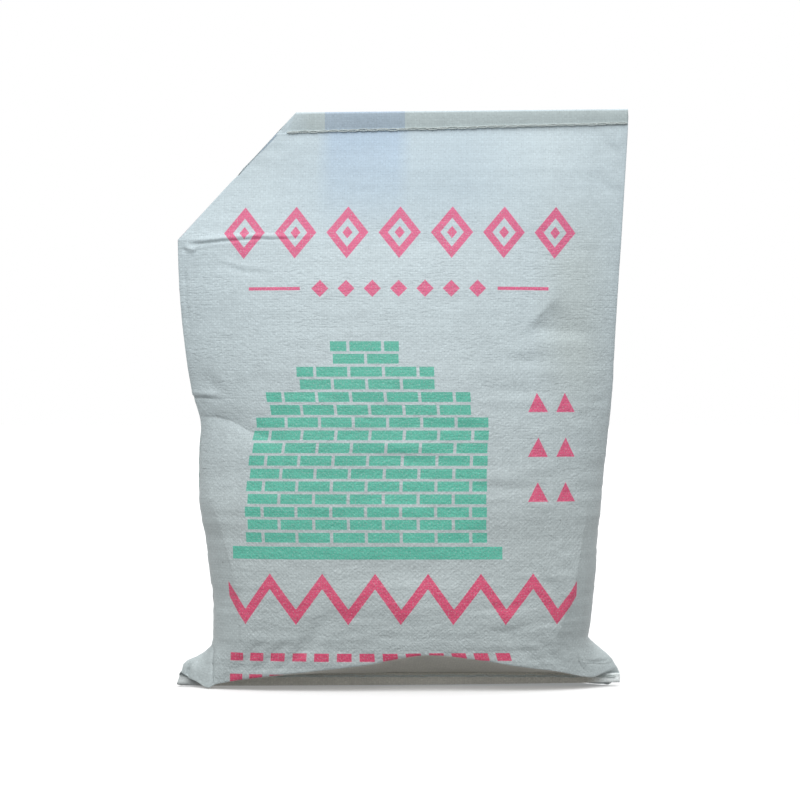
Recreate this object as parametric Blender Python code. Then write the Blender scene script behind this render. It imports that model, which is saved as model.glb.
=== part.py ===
"""A filled valve sack of woven polypropylene, standing on its bottom seam.

The sack is a flat tube of woven tape fabric, folded over and sewn with one chain stitch at each
end, with its top left corner tucked in to make the filling valve. Metres, +Z up, the printed
front faces -Y, and the origin is on the floor under the middle of the sack.
"""

import math

import bmesh
import bpy
import numpy as np

# The empty sack, laid flat.
FLAT_WIDTH = 0.450
VALVE_CUT_ALONG_TOP = 0.121
VALVE_CUT_DOWN_SIDE = 0.131

# The full sack, standing. Its folded top slopes a little and is lowest at the valve.
HEIGHT = 0.577
VALVE_CORNER = HEIGHT - VALVE_CUT_DOWN_SIDE
HEM_BOTTOM = 0.5575
TOP_SLOPE = (
    # level, how far it lies above that at the left edge, and at the right edge
    (0.500, 0.0000, 0.0000),
    (HEM_BOTTOM, -0.0045, 0.0045),
    (HEIGHT, -0.0035, 0.0000),
)

# Fabric where it lies flat, as half the thickness of the layers pressed together. The hem is
# folded to the front, so it is thicker there.
FLAT_HALF = 0.0012
FOLDED_HEM_FRONT = 0.0024
EDGE_ROUNDING = 0.0006

# The valve mouth is a narrow pocket between the front and back of the slanted edge. Its lips
# spread over a short climb from the corner below and close again under the hem.
MOUTH_DEPTH = 0.012
MOUTH_HALF_GAP = 0.0008
LIP_HALF = 0.0022
LIP_WIDTH = 0.024
LIP_CLIMB = 0.010
MOUTH_TOP = 0.548

# Each row is a level of the full sack: how far its side creases have drawn in from the flat
# width at the left and at the right, how far each panel bulges, and the outline of that bulge.
# Woven tape doesn't stretch, so a panel that bulges more draws its sides in more. A low
# roundness and a fall of 1 give a lens with sharp sides; more of one and less of the other give
# a rounded oblong.
TURN_TOP = 0.050
LEVELS = (
    # height, left in, right in, bulge, roundness at the left, and at the right, fall
    (TURN_TOP, 0.0362, 0.0410, 0.066, 5.0, 4.6, 0.46),
    (0.086, 0.0353, 0.0370, 0.068, 4.8, 4.2, 0.48),
    (0.136, 0.0305, 0.0325, 0.068, 4.0, 3.7, 0.52),
    (0.186, 0.0227, 0.0275, 0.067, 3.3, 3.3, 0.58),
    (0.236, 0.0217, 0.0225, 0.064, 2.8, 2.9, 0.66),
    (0.262, 0.0226, 0.0197, 0.062, 2.6, 2.7, 0.71),
    (0.290, 0.0150, 0.0168, 0.060, 2.4, 2.5, 0.76),
    (0.336, 0.0077, 0.0140, 0.053, 2.3, 2.3, 0.83),
    (0.386, 0.0023, 0.0110, 0.044, 2.2, 2.2, 0.90),
    (VALVE_CORNER, 0.0000, 0.0070, 0.030, 2.1, 2.1, 1.00),
    (0.500, 0.0000, 0.0038, 0.017, 2.0, 2.0, 1.00),
    (0.540, 0.0000, 0.0015, 0.006, 2.0, 2.0, 1.00),
    (HEM_BOTTOM, 0.0000, 0.0006, 0.000, 2.0, 2.0, 1.00),
    (HEIGHT, 0.0000, 0.0000, 0.000, 2.0, 2.0, 1.00),
)

# Where each panel turns under, from its left edge at -1 to its right edge at 1. The front one
# hangs clear of the floor in the middle and drapes over the flattened corners, which stand out
# as ears. The back one is pressed flat on the floor.
FRONT_TURN = (
    # across, x, y, z
    (-1.00, -0.2185, -0.0060, 0.0150),
    (-0.96, -0.2135, -0.0110, 0.0085),
    (-0.92, -0.2040, -0.0180, 0.0035),
    (-0.87, -0.1925, -0.0270, 0.0003),
    (-0.79, -0.1750, -0.0420, 0.0060),
    (-0.60, -0.1370, -0.0560, 0.0134),
    (-0.40, -0.0930, -0.0630, 0.0187),
    (-0.15, -0.0350, -0.0660, 0.0256),
    (0.10, 0.0230, -0.0670, 0.0353),
    (0.30, 0.0690, -0.0660, 0.0310),
    (0.55, 0.1260, -0.0600, 0.0216),
    (0.72, 0.1580, -0.0480, 0.0168),
    (0.82, 0.1790, -0.0330, 0.0124),
    (0.92, 0.1990, -0.0150, 0.0144),
    (1.00, 0.2130, -0.0030, 0.0200),
)
BACK_TURN = (
    (-1.00, -0.2190, 0.0030, 0.0100),
    (-0.93, -0.2050, 0.0130, 0.0040),
    (-0.80, -0.1790, 0.0420, 0.0020),
    (-0.40, -0.0920, 0.0580, 0.0020),
    (0.00, 0.0000, 0.0600, 0.0020),
    (0.40, 0.0920, 0.0580, 0.0020),
    (0.80, 0.1760, 0.0420, 0.0020),
    (0.93, 0.2000, 0.0130, 0.0060),
    (1.00, 0.2130, 0.0030, 0.0200),
)
EAR_FLARE = 0.007
EAR_WIDTH_SHARE = 0.12
BACK_FOOT = 0.006
BACK_FOOT_SLOPE = 1.5

# The bottom hem, folded to the front and standing on its fold.
SEAM_LEFT = -0.2235
SEAM_RIGHT = 0.2165
SEAM_HEIGHT = 0.0135
BOTTOM_HEM_EDGE = 0.0115
BOTTOM_HEM_FRONT = 0.0030

# One strand of chain stitch runs along the front of each hem.
THREAD_GAP = 0.0003
TOP_THREAD_RADIUS = 0.0009
TOP_THREAD_ABOVE_HEM = 0.0022
TOP_THREAD_INSET = 0.0015
BOTTOM_THREAD_RADIUS = 0.0006
BOTTOM_THREAD_HEIGHT = 0.0075
BOTTOM_THREAD_INSET = 0.0150

# The levels at which the loft is drawn are close where the shape turns fast, and so are the
# steps across, which lie at these shares of a panel's width along the cloth.
HEM_STEP = 0.0004
RING_LEVELS = (
    TURN_TOP, 0.056, 0.066, 0.080, 0.098, 0.122, 0.150, 0.180, 0.210, 0.236, 0.254, 0.266, 0.276,
    0.288, 0.308, 0.330, 0.354, 0.380, 0.406, 0.428, VALVE_CORNER, 0.456, 0.472, 0.490, 0.508,
    0.524, 0.538, MOUTH_TOP, HEM_BOTTOM - HEM_STEP, HEM_BOTTOM, HEIGHT,
)
SECTION_SAMPLES = 181
PANEL_STEPS = 36
EVEN = np.linspace(0, 1, PANEL_STEPS + 1)
SHARES = (EVEN + (1 - np.cos(math.pi * EVEN)) / 2) / 2

# How many rings lead down to each panel's turn, and from there to its end.
FRONT_DRAPE_RINGS = 5
FRONT_UNDER_RINGS = 3
BACK_DRAPE_RINGS = 7
BACK_UNDER_RINGS = 3


def smooth_between(rows, at):
    """The other columns of a table at these values of its first, on a smooth curve through them."""
    table = np.array(rows)
    key, values = table[:, 0], table[:, 1:]
    slopes = np.gradient(values, key, axis=0)
    i = np.clip(np.searchsorted(key, at, side="right") - 1, 0, len(key) - 2)
    span = (key[i + 1] - key[i])[..., None]
    t = (np.asarray(at) - key[i])[..., None] / span
    return (
        values[i] * (2 * t**3 - 3 * t**2 + 1)
        + slopes[i] * span * (t**3 - 2 * t**2 + t)
        + values[i + 1] * (3 * t**2 - 2 * t**3)
        + slopes[i + 1] * span * (t**3 - t**2)
    )


def eased(value, low, high):
    """0 below low, 1 above high, and a smooth rise between them."""
    t = np.clip((value - low) / (high - low), 0, 1)
    return t * t * (3 - 2 * t)


def top_shift(level, share):
    """How far the sloping top moves a point of this level up, at this share of the width."""
    table = np.array(TOP_SLOPE)
    left, right = (np.interp(level, table[:, 0], table[:, column]) for column in (1, 2))
    return left + (right - left) * share


def valve_line(height):
    """Where the slanted edge of the tucked corner lies at this height, or the side below it."""
    climb = max(0.0, height - VALVE_CORNER) / VALVE_CUT_DOWN_SIDE
    return -FLAT_WIDTH / 2 + VALVE_CUT_ALONG_TOP * climb


def section(level):
    """The x of a panel's points at this level, and how far they stand out from its edges."""
    left_in, right_in, bulge, round_left, round_right, fall = smooth_between(LEVELS, level)
    left = valve_line(level + top_shift(level, 0)) + max(0.0, left_in) + EDGE_ROUNDING
    right = FLAT_WIDTH / 2 - max(0.0, right_in) - EDGE_ROUNDING
    s = np.sin(np.linspace(-math.pi / 2, math.pi / 2, SECTION_SAMPLES))
    roundness = np.where(s < 0, round_left, round_right)
    x = (left + right) / 2 + (right - left) / 2 * s
    out = max(0.0, bulge) * np.maximum(0, 1 - np.abs(s) ** roundness) ** fall
    run = np.concatenate([[0], np.cumsum(np.hypot(np.diff(x), np.diff(out)))])
    return np.interp(SHARES * run[-1], run, x), np.interp(SHARES * run[-1], run, out)


def panels_at(level):
    """The front's and the back's points at this level, both from left to right."""
    x, out = section(level)
    z = level + top_shift(level, SHARES)
    lip = mouth_opening(level) * np.maximum(0, 1 - (x - x[0]) / LIP_WIDTH)
    flat = FLAT_HALF + (LIP_HALF - FLAT_HALF) * lip
    front_least = FOLDED_HEM_FRONT if level >= HEM_BOTTOM else 0.0
    front = np.stack([x, -np.maximum(flat, front_least) - out, z], axis=1)
    back = np.stack([x, flat + out, z], axis=1)
    return front, back


def mouth_opening(level):
    """How far the valve mouth has opened at this level, from 0 to 1."""
    opened = min(1.0, max(0.0, level - VALVE_CORNER) / LIP_CLIMB)
    closed = min(1.0, max(0.0, MOUTH_TOP - level) / LIP_CLIMB)
    return min(opened, closed)


def ring_of(front, back, opening):
    """One closed outline: the front, the right side's fold, the back, and the left fold or mouth."""
    right_fold = (front[-1] + back[-1]) / 2 + [EDGE_ROUNDING, 0, 0]
    edge = (front[0] + back[0]) / 2 - [EDGE_ROUNDING, 0, 0]
    pocket = edge + [(MOUTH_DEPTH + EDGE_ROUNDING) * opening, 0, 0]
    lips = edge + [EDGE_ROUNDING / 3 * (1 - opening), 0, 0]
    between = (back[0] - front[0]) / np.linalg.norm(back[0] - front[0]) * MOUTH_HALF_GAP
    return [*front, right_fold, *back[::-1], lips + between, pocket, lips - between]


def draped(top, corner, rings):
    """A panel's rows from the lowest level down to its turn, with the ears spreading out."""
    across = 2 * SHARES - 1
    flare = EAR_FLARE * eased(np.abs(across), 1 - EAR_WIDTH_SHARE, 1)
    rows = []
    for i in range(1, rings + 1):
        t = i / rings
        row = top + (corner - top) * t
        late = (corner - top)[:, 0] * (t**1.5 - t) - flare * 6.75 * t * t * (1 - t)
        row[:, 0] += np.where(across < 0, late, flare * 4 * t * (1 - t))
        rows.append(row)
    return rows


def straight_rows(start, end, rings):
    return [start + (end - start) * i / rings for i in range(1, rings + 1)]


def rings_under():
    """The rings below the lowest level, where the panels turn under and run to the bottom hem."""
    top_front, top_back = panels_at(TURN_TOP)
    across = 2 * SHARES - 1
    seam_x = SEAM_LEFT + (SEAM_RIGHT - SEAM_LEFT) * SHARES
    level = np.ones_like(seam_x)

    corner = smooth_between(FRONT_TURN, across)
    seam = np.stack([seam_x, -FLAT_HALF * level, SEAM_HEIGHT * level], axis=1)
    hem_edge = np.stack([seam_x, -BOTTOM_HEM_FRONT * level, BOTTOM_HEM_EDGE * level], axis=1)
    hem_foot = hem_edge * [1, 1, 0]
    front = draped(top_front, corner, FRONT_DRAPE_RINGS)
    front += straight_rows(corner, seam, FRONT_UNDER_RINGS) + [hem_edge, hem_foot]

    corner = smooth_between(BACK_TURN, across)
    way = np.stack([seam_x, FLAT_HALF * level, 0 * level], axis=1) - corner
    length = np.linalg.norm(way[:, :2], axis=1)
    reach = np.minimum(1, (BACK_FOOT + BACK_FOOT_SLOPE * corner[:, 2]) / length)
    foot = corner + way * reach[:, None]
    foot[:, 2] = 0
    back = draped(top_back, corner, BACK_DRAPE_RINGS)
    back += straight_rows(corner, foot, BACK_UNDER_RINGS)
    return [ring_of(a, b, 0.0) for a, b in zip(front, back)]


def make_material(name, colour, roughness):
    material = bpy.data.materials.new(name)
    material.use_nodes = True
    shader = material.node_tree.nodes["Principled BSDF"]
    shader.inputs["Base Color"].default_value = (*colour, 1.0)
    shader.inputs["Roughness"].default_value = roughness
    shader.inputs["Metallic"].default_value = 0.0
    material.diffuse_color = (*colour, 1.0)
    return material


def filled_sack(collection, material):
    """The body of the sack is a loft between unlike outlines, from the bottom hem to the top one."""
    rings = rings_under()[::-1]
    rings += [ring_of(*panels_at(level), mouth_opening(level)) for level in RING_LEVELS]
    shape = bmesh.new()
    rows = [[shape.verts.new(point) for point in ring] for ring in rings]
    for lower, upper in zip(rows, rows[1:]):
        for i in range(len(lower)):
            j = (i + 1) % len(lower)
            shape.faces.new((lower[i], lower[j], upper[j], upper[i]))
    shape.faces.new(rows[0][::-1])
    shape.faces.new(rows[-1])
    bmesh.ops.recalc_face_normals(shape, faces=shape.faces)
    mesh = bpy.data.meshes.new("filled_sack")
    shape.to_mesh(mesh)
    shape.free()
    sack = bpy.data.objects.new("filled_sack", mesh)
    sack.data.materials.append(material)
    collection.objects.link(sack)
    sack.data.shade_smooth()
    sack.data.set_sharp_from_angle(angle=math.radians(50))


def straight_thread(name, start, end, radius, collection, material):
    """A straight strand of sewing thread."""
    curve = bpy.data.curves.new(name, "CURVE")
    curve.dimensions = "3D"
    curve.bevel_depth = radius
    curve.bevel_resolution = 2
    curve.use_fill_caps = True
    spline = curve.splines.new("POLY")
    spline.points.add(1)
    spline.points[0].co = (*start, 1.0)
    spline.points[1].co = (*end, 1.0)
    thread = bpy.data.objects.new(name, curve)
    thread.data.materials.append(material)
    collection.objects.link(thread)


def seam_threads(collection, material):
    """The chain stitches along the top and the bottom hem."""
    top_y = -(FOLDED_HEM_FRONT + THREAD_GAP + TOP_THREAD_RADIUS)
    left_z, right_z = (HEM_BOTTOM + top_shift(HEM_BOTTOM, side) + TOP_THREAD_ABOVE_HEM for side in (0, 1))
    straight_thread(
        "top_seam_thread",
        (valve_line(left_z) + TOP_THREAD_INSET, top_y, left_z),
        (FLAT_WIDTH / 2 - TOP_THREAD_INSET, top_y, right_z),
        TOP_THREAD_RADIUS,
        collection,
        material,
    )
    bottom_y = -(BOTTOM_HEM_FRONT + THREAD_GAP + BOTTOM_THREAD_RADIUS)
    straight_thread(
        "bottom_seam_thread",
        (SEAM_LEFT + BOTTOM_THREAD_INSET, bottom_y, BOTTOM_THREAD_HEIGHT),
        (SEAM_RIGHT - BOTTOM_THREAD_INSET, bottom_y, BOTTOM_THREAD_HEIGHT),
        BOTTOM_THREAD_RADIUS,
        collection,
        material,
    )


def main():
    for old in list(bpy.data.objects):
        bpy.data.objects.remove(old, do_unlink=True)
    parts = bpy.data.collections.new("woven_polypropylene_sack")
    bpy.context.scene.collection.children.link(parts)
    filled_sack(parts, make_material("woven_fabric", (0.60, 0.66, 0.68), 0.55))
    seam_threads(parts, make_material("sewing_thread", (0.72, 0.76, 0.72), 0.75))


main()
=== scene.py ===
import math

import bmesh
import bpy
import numpy as np
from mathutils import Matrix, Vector


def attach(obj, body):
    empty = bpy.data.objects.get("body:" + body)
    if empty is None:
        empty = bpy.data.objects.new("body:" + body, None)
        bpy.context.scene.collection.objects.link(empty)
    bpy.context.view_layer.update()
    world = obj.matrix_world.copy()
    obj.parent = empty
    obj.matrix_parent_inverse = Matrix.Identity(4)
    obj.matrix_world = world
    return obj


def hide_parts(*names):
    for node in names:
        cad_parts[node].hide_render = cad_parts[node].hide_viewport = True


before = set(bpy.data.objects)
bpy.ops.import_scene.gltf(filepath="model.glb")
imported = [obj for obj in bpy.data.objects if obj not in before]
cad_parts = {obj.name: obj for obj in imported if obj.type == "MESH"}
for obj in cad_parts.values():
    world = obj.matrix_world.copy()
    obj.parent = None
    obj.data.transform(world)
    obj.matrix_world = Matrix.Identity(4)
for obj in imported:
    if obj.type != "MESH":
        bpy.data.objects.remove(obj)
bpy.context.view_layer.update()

bpy.ops.object.select_all(action="DESELECT")

# The photograph is taken level with the middle of the sack and square to its printed front, from
# far enough that its sides hardly converge. The frame is 800 mm wide at the sack's middle plane.
CAMERA_DISTANCE = 3.0
CAMERA_HEIGHT = 0.286
CAMERA_X = -0.003
FRAME_WIDTH = 0.800
SENSOR_WIDTH = 36.0

bpy.ops.object.camera_add(location=(CAMERA_X, -CAMERA_DISTANCE, CAMERA_HEIGHT))
camera = bpy.context.object
camera.rotation_euler = (math.radians(90), 0, 0)
camera.data.sensor_width = SENSOR_WIDTH
camera.data.lens = SENSOR_WIDTH * CAMERA_DISTANCE / FRAME_WIDTH
bpy.context.scene.camera = camera
bpy.context.scene.view_settings.view_transform = "Standard"


# The sack is one tube of woven polypropylene tape, 450 mm wide laid flat, full of powder and
# standing on its bottom seam. Its outline is set level by level as the photograph shows it, and
# each panel lies along those sections at its real width, because the woven tape doesn't stretch.
FLAT_HALF_WIDTH = 0.225
HEIGHT = 0.577
VALVE_CORNER = 0.446
VALVE_CUT_ALONG_TOP = 0.121
LAYER = 0.0011
TURN_TOP = 0.050

SACK_LEVELS = (
    # height, left drawn in, right drawn in, bulge, roundness left, roundness right, fall
    (0.050, 0.0362, 0.0410, 0.066, 5.0, 4.6, 0.46),
    (0.086, 0.0353, 0.0370, 0.068, 4.8, 4.2, 0.48),
    (0.136, 0.0305, 0.0325, 0.068, 4.0, 3.7, 0.52),
    (0.186, 0.0227, 0.0275, 0.067, 3.3, 3.3, 0.58),
    (0.236, 0.0217, 0.0225, 0.064, 2.8, 2.9, 0.66),
    (0.262, 0.0226, 0.0197, 0.062, 2.6, 2.7, 0.71),
    (0.274, 0.0200, 0.0183, 0.061, 2.5, 2.6, 0.73),
    (0.290, 0.0150, 0.0168, 0.060, 2.4, 2.5, 0.76),
    (0.336, 0.0077, 0.0140, 0.053, 2.3, 2.3, 0.83),
    (0.386, 0.0023, 0.0110, 0.044, 2.2, 2.2, 0.90),
    (0.446, 0.0000, 0.0070, 0.030, 2.1, 2.1, 1.00),
    (0.500, 0.0000, 0.0038, 0.017, 2.0, 2.0, 1.00),
    (0.540, 0.0000, 0.0015, 0.006, 2.0, 2.0, 1.00),
    (0.556, 0.0000, 0.0006, 0.000, 2.0, 2.0, 1.00),
    (0.577, 0.0000, 0.0000, 0.000, 2.0, 2.0, 1.00),
)

# Where each panel turns under, from its left edge at -1 to its right edge at 1. The front one
# hangs clear of the floor in the middle and drapes over the flattened corners at both ends.
FRONT_TURN = (
    # across, x, y, z
    (-1.000, -0.2215, -0.0060, 0.0150),
    (-0.960, -0.2155, -0.0095, 0.0098),
    (-0.920, -0.2050, -0.0190, 0.0055),
    (-0.885, -0.1940, -0.0310, 0.0006),
    (-0.850, -0.1865, -0.0335, 0.0036),
    (-0.790, -0.1750, -0.0395, 0.0066),
    (-0.600, -0.1370, -0.0550, 0.0134),
    (-0.400, -0.0930, -0.0630, 0.0187),
    (-0.150, -0.0350, -0.0660, 0.0256),
    (0.100, 0.0230, -0.0670, 0.0353),
    (0.300, 0.0690, -0.0660, 0.0310),
    (0.550, 0.1260, -0.0600, 0.0216),
    (0.720, 0.1580, -0.0480, 0.0168),
    (0.820, 0.1790, -0.0330, 0.0118),
    (0.870, 0.1890, -0.0240, 0.0105),
    (0.920, 0.1985, -0.0150, 0.0138),
    (1.000, 0.2130, -0.0030, 0.0200),
)
BACK_TURN = (
    (-1.00, -0.2190, 0.0030, 0.0100),
    (-0.93, -0.2050, 0.0130, 0.0030),
    (-0.80, -0.1790, 0.0400, 0.0008),
    (-0.40, -0.0920, 0.0520, 0.0006),
    (0.00, 0.0000, 0.0540, 0.0006),
    (0.40, 0.0920, 0.0520, 0.0006),
    (0.80, 0.1760, 0.0400, 0.0008),
    (0.93, 0.2000, 0.0130, 0.0008),
    (0.97, 0.2080, 0.0075, 0.0022),
    (1.00, 0.2130, 0.0030, 0.0200),
)
TURN_RADIUS_SIDE = 0.0015
TURN_RADIUS_MIDDLE = 0.0030
LEFT_EAR_EDGE = (
    # share of the way down to the turn, share of the way out
    (0.00, 0.00),
    (0.22, 0.00),
    (0.34, 0.14),
    (0.50, 0.34),
    (0.61, 0.55),
    (0.70, 0.81),
    (0.82, 0.95),
    (1.00, 1.00),
)
RIGHT_EAR_EDGE = ((0.00, 0.00), (0.07, 0.03), (0.30, 0.31), (0.57, 0.655), (0.80, 0.88), (1.00, 1.00))
EAR_FOLD = 0.885
SEAM_LEFT = -0.2235
SEAM_RIGHT = 0.2165
SEAM_HEIGHT = 0.0130
SEAM_HALF_DEPTH = 1.5 * LAYER
RIGHT_LIFT = 0.0036
FLOOR_CLEARANCE = 0.0006

# The panels are worked out on a coarse grid for the cloth, and again at twice its detail.
DETAIL = 2
LEVEL_ROWS = 113
FINER_AT = ((0.442, 0.012, 1.6), (0.281, 0.014, 0.8), (0.055, 0.015, 0.4))
TURN_ROWS = (14, 3, 6)
PANEL_COLUMNS = 100
SECTION_POINTS = 241
HEIGHT_STEPS = 2001
LARGEST_SHARE_OF_TURN = 0.45


def smooth_between(rows, at):
    """The other columns of a table at these values of its first, on a smooth curve through them."""
    table = np.array(rows, float)
    key, values = table[:, 0], table[:, 1:]
    slopes = np.gradient(values, key, axis=0)
    i = np.clip(np.searchsorted(key, at, side="right") - 1, 0, len(key) - 2)
    span = (key[i + 1] - key[i])[..., None]
    t = (np.asarray(at) - key[i])[..., None] / span
    return (
        values[i] * (2 * t**3 - 3 * t**2 + 1)
        + slopes[i] * span * (t**3 - 2 * t**2 + t)
        + values[i + 1] * (3 * t**2 - 2 * t**3)
        + slopes[i + 1] * span * (t**3 - t**2)
    )


def eased(value, low, high):
    """0 below low, 1 above high, and a smooth rise between them."""
    t = np.clip((value - low) / (high - low), 0, 1)
    return t * t * (3 - 2 * t)


def valve_line(height):
    """The slanted edge of the tucked corner, or the flat side of the sack below it."""
    climb = np.maximum(0, height - VALVE_CORNER) / (HEIGHT - VALVE_CORNER)
    return -FLAT_HALF_WIDTH + VALVE_CUT_ALONG_TOP * climb


def section(height, side, shares):
    """One panel's points at this height, at these shares of its width along the cloth."""
    left_in, right_in, bulge, round_left, round_right, fall = smooth_between(SACK_LEVELS, height)
    left = valve_line(height) + max(0, left_in)
    right = FLAT_HALF_WIDTH - max(0, right_in)
    s = np.sin(np.linspace(-math.pi / 2, math.pi / 2, SECTION_POINTS))
    roundness = np.where(s < 0, round_left, round_right)
    x = (left + right) / 2 + (right - left) / 2 * s
    y = LAYER + max(0, bulge) * np.maximum(0, 1 - np.abs(s) ** roundness) ** fall
    run = np.concatenate([[0], np.cumsum(np.hypot(np.diff(x), np.diff(y)))])
    px, py = np.interp(shares * run[-1], run, x), np.interp(shares * run[-1], run, y)
    return np.stack([px, side * py, np.full_like(px, height)], axis=1)


def toward(a, b, distance):
    """The points this far from a on the way to b, and never past the middle."""
    way = b - a
    length = np.maximum(np.linalg.norm(way, axis=-1, keepdims=True), 1e-9)
    return a + way / length * np.minimum(distance, length * LARGEST_SHARE_OF_TURN)


def level_heights(detail):
    """The heights of the rows, closer together where the sharp folds are."""
    fine = np.linspace(HEIGHT, TURN_TOP, HEIGHT_STEPS)
    density = 1 + sum(more * np.exp(-(((fine - at) / reach) ** 2)) for at, reach, more in FINER_AT)
    run = np.concatenate([[0], np.cumsum((density[1:] + density[:-1]) / 2)])
    return np.interp(np.linspace(0, run[-1], LEVEL_ROWS * detail + 1), run, fine)


def panel_shares(detail):
    """The columns' shares of the panel's width, closer together toward its sides."""
    even = np.linspace(0, 1, PANEL_COLUMNS * detail + 1)
    return (even + (1 - np.cos(math.pi * even)) / 2) / 2


def panel(side, detail):
    """A panel's grid of points, from the top edge down, with its pattern coordinates."""
    shares = panel_shares(detail)
    across = shares * 2 - 1
    heights = level_heights(detail)
    rows = [section(height, side, shares) for height in heights]
    left = valve_line(heights)[:, None]
    u = left + (FLAT_HALF_WIDTH - left) * shares
    v = np.repeat(heights[:, None], len(shares), axis=1)

    top = rows[-1]
    corner = smooth_between(FRONT_TURN if side < 0 else BACK_TURN, across)
    seam_x = SEAM_LEFT + (SEAM_RIGHT - SEAM_LEFT) * shares
    foot_z = FLOOR_CLEARANCE + RIGHT_LIFT * shares**2
    seam_z = np.full_like(seam_x, SEAM_HEIGHT) if side < 0 else foot_z
    seam = np.stack([seam_x, np.full_like(seam_x, side * SEAM_HALF_DEPTH), seam_z], axis=1)
    radius = TURN_RADIUS_SIDE + (TURN_RADIUS_MIDDLE - TURN_RADIUS_SIDE) * (1 - across**2)[:, None]
    start, end = toward(corner, top, radius), toward(corner, seam, radius)
    in_ear = np.maximum(0, (np.abs(across) - EAR_FOLD) / (1 - EAR_FOLD))
    before, around, under = (count * detail for count in TURN_ROWS)
    down = []
    for i in range(1, before + 1):
        t = i / before
        row = top + (start - top) * t
        out = [np.interp(t, *np.transpose(edge)) for edge in (LEFT_EAR_EDGE, RIGHT_EAR_EDGE)]
        row[:, 0] += (start - top)[:, 0] * in_ear * (np.where(across < 0, *out) - t)
        down.append(row)
    for i in range(1, around + 1):
        t = i / around
        down.append(start * (1 - t) ** 2 + corner * 2 * t * (1 - t) + end * t**2)
    down += [end + (seam - end) * i / under for i in range(1, under + 1)]
    points = np.array(rows + down)
    steps = np.linalg.norm(np.diff(points[LEVEL_ROWS * detail:], axis=0), axis=2)
    v_down = TURN_TOP - np.cumsum(steps, axis=0)
    u_down = np.repeat(u[-1][None], len(down), axis=0)
    return points, np.concatenate([u, u_down]), np.concatenate([v, v_down])


# The cloth is let go around the powder. It is cut a little longer and wider than the smooth
# sections, the powder pushes it out, and it buckles into the folds that such a sack has. The
# hems, the sides' creases and what stands on the floor are held more firmly than the rest.
CLOTH_FRAMES = 24
CLOTH_SLACK_DOWN = 0.016
CLOTH_SLACK_ACROSS = 0.003
CLOTH_SETTINGS = {
    "quality": 6,
    "mass": 0.3,
    "tension_stiffness": 60,
    "compression_stiffness": 60,
    "shear_stiffness": 20,
    "bending_stiffness": 4,
    "tension_damping": 5,
    "compression_damping": 5,
    "shear_damping": 5,
    "air_damping": 2,
    "use_pressure": True,
    "uniform_pressure_force": 3,
    "vertex_group_mass": "held",
}
MOST_MOVED = 0.011
HOLD = 0.05
HOLD_SIDES = 0.5
HOLD_TURN = 0.35
HELD_SIDE_COLUMNS = 3
HELD_TOP_ROWS = 6
HELD_BELOW = 0.003


def welded_tube(front, back):
    """A mesh of both panels, joined along the sides and closed at the top and bottom."""
    rows, columns = front.shape[:2]
    joined = front.copy()
    joined[:, [0, -1]] = (front[:, [0, -1]] + back[:, [0, -1]]) / 2
    front_index = np.arange(rows * columns).reshape(rows, columns)
    back_index = front_index.copy()
    back_index[:, 1:-1] = rows * columns + np.arange(rows * (columns - 2)).reshape(rows, -1)
    points = np.concatenate([joined.reshape(-1, 3), back[:, 1:-1].reshape(-1, 3)])
    faces = grid_faces(front_index) + grid_faces(back_index[:, ::-1])
    faces.append(front_index[0].tolist() + back_index[0, -2:0:-1].tolist())
    faces.append(front_index[-1, ::-1].tolist() + back_index[-1, 1:-1].tolist())
    mesh = bpy.data.meshes.new("cloth_tube")
    mesh.from_pydata(points.tolist(), [], faces)
    return mesh, points, front_index, back_index


def grid_faces(index):
    """Quads between neighbouring numbers of a grid, facing the side where its rows run down."""
    corners = (index[:-1, :-1], index[1:, :-1], index[1:, 1:], index[:-1, 1:])
    return np.stack(corners, axis=-1).reshape(-1, 4).tolist()


def let_go(front, back):
    """How far each point of the two panels moves when the cloth is let go around the powder."""
    mesh, points, front_index, back_index = welded_tube(front, back)
    tube = bpy.data.objects.new("cloth_tube", mesh)
    bpy.context.scene.collection.objects.link(tube)
    tube.shape_key_add(name="standing")
    slack = tube.shape_key_add(name="slack")
    cut_size = points * [1 + CLOTH_SLACK_ACROSS, 1, 1 + CLOTH_SLACK_DOWN]
    slack.data.foreach_set("co", cut_size.astype(np.float32).ravel())
    held = np.full(front_index.shape, HOLD)
    held[:, :HELD_SIDE_COLUMNS] = held[:, -HELD_SIDE_COLUMNS:] = HOLD_SIDES
    turned = LEVEL_ROWS + TURN_ROWS[0]
    held[turned - 1:turned + TURN_ROWS[1] + 1] = HOLD_TURN
    held[:HELD_TOP_ROWS] = held[-1] = 1
    weights = np.zeros(len(points))
    weights[back_index] = held
    weights[front_index] = held
    weights[points[:, 2] < HELD_BELOW] = 1
    group = tube.vertex_groups.new(name="held")
    for weight in np.unique(weights):
        group.add(np.nonzero(weights == weight)[0].tolist(), float(weight), "REPLACE")
    cloth = tube.modifiers.new("cloth", "CLOTH")
    for name, value in CLOTH_SETTINGS.items():
        setattr(cloth.settings, name, value)
    cloth.settings.rest_shape_key = slack
    cloth.settings.effector_weights.gravity = 0
    cloth.point_cache.frame_end = CLOTH_FRAMES
    for step in range(1, CLOTH_FRAMES + 1):
        bpy.context.scene.frame_set(step)
    simulated = tube.evaluated_get(bpy.context.evaluated_depsgraph_get()).to_mesh()
    moved = np.empty(len(points) * 3, np.float32)
    simulated.vertices.foreach_get("co", moved)
    moved = moved.reshape(-1, 3) - points
    bpy.context.scene.frame_set(1)
    bpy.data.objects.remove(tube, do_unlink=True)
    moved *= np.minimum(1, MOST_MOVED / np.maximum(np.linalg.norm(moved, axis=1), 1e-9))[:, None]
    return moved[front_index], moved[back_index]


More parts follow.
